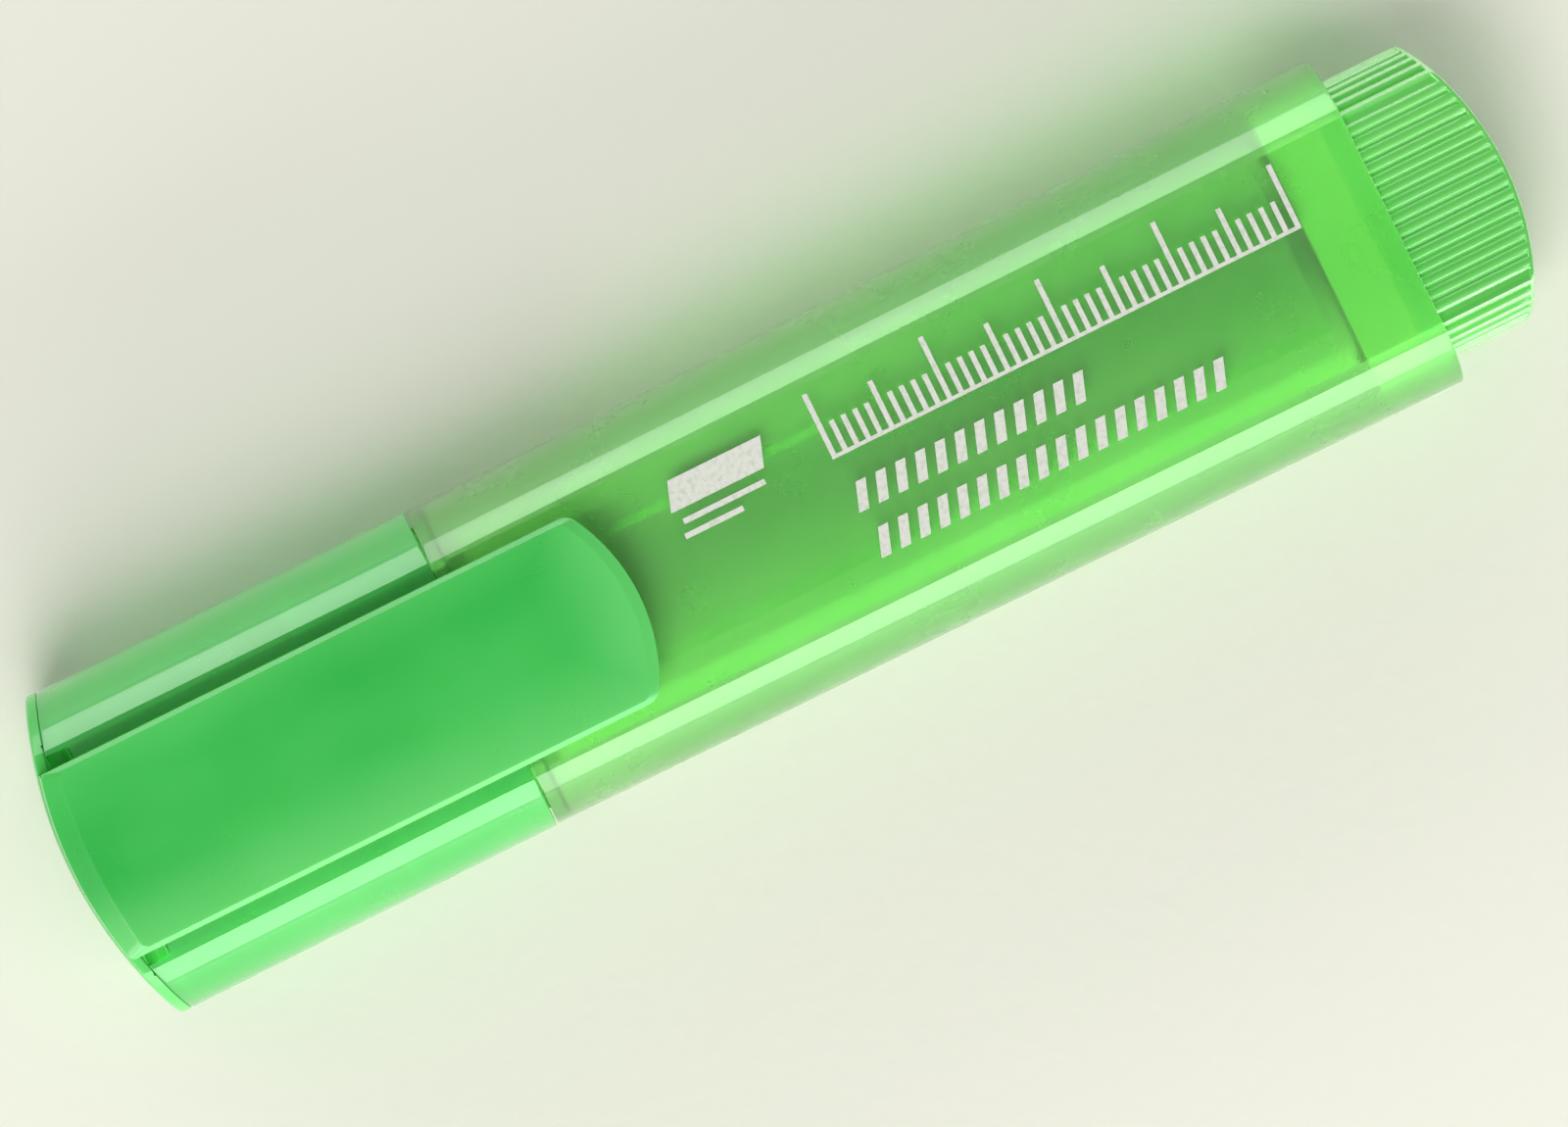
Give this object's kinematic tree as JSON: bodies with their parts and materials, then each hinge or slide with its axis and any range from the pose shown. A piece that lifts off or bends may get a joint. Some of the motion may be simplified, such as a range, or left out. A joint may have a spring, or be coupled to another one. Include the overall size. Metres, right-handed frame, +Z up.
{
  "type": "highlighter",
  "caption": "Flat-oval refillable highlighter with a see-through barrel, pull-off cap with a sprung pocket clip, ribbed end plug and felt chisel nib.",
  "frame": {"origin": "under the middle of the pen, on the surface that it lies on, with the cap on", "axes": "+X from the cap's domed end to the end plug, +Y across the pen's width, +Z up through the flat faces to the clip"},
  "size_m": [0.124, 0.0278, 0.0189],
  "materials": {
    "barrel_plastic": "clear tinted, polished",
    "section_plastic": "satin",
    "felt": "ink-soaked felt",
    "fibre": "ink-soaked fibre",
    "film": "thin clear film",
    "plug_plastic": "ribbed, polished",
    "cap_plastic": "clear tinted, polished",
    "clip_plastic": "opaque, satin",
    "inner_cap_plastic": "milky, satin"
  },
  "bodies": {
    "barrel": {"barrel": "barrel_plastic", "nib_section": "section_plastic", "nib": "felt", "reservoir_core": "fibre", "reservoir_film": "film"},
    "cap": {"cap_shell": "cap_plastic", "cap_end_cover": "clip_plastic", "inner_cap": "inner_cap_plastic"},
    "clip": {"clip": "clip_plastic"},
    "end_plug": {"end_plug": "plug_plastic"}
  },
  "joints": [
    {"name": "cap_pull", "type": "slide", "parent": "barrel", "child": "cap", "axis": [-1, 0, 0], "range_m": [0, 0.045]},
    {"name": "clip_flex", "type": "hinge", "parent": "cap", "child": "clip", "pos_m": [-0.05875, 0, 0.0149], "axis": [0, -1, 0], "range_deg": [0, 3.5], "stiffness_Nm_per_rad": 2},
    {"name": "end_plug_pull", "type": "slide", "parent": "barrel", "child": "end_plug", "axis": [1, 0, 0], "range_m": [0, 0.01]}
  ]
}
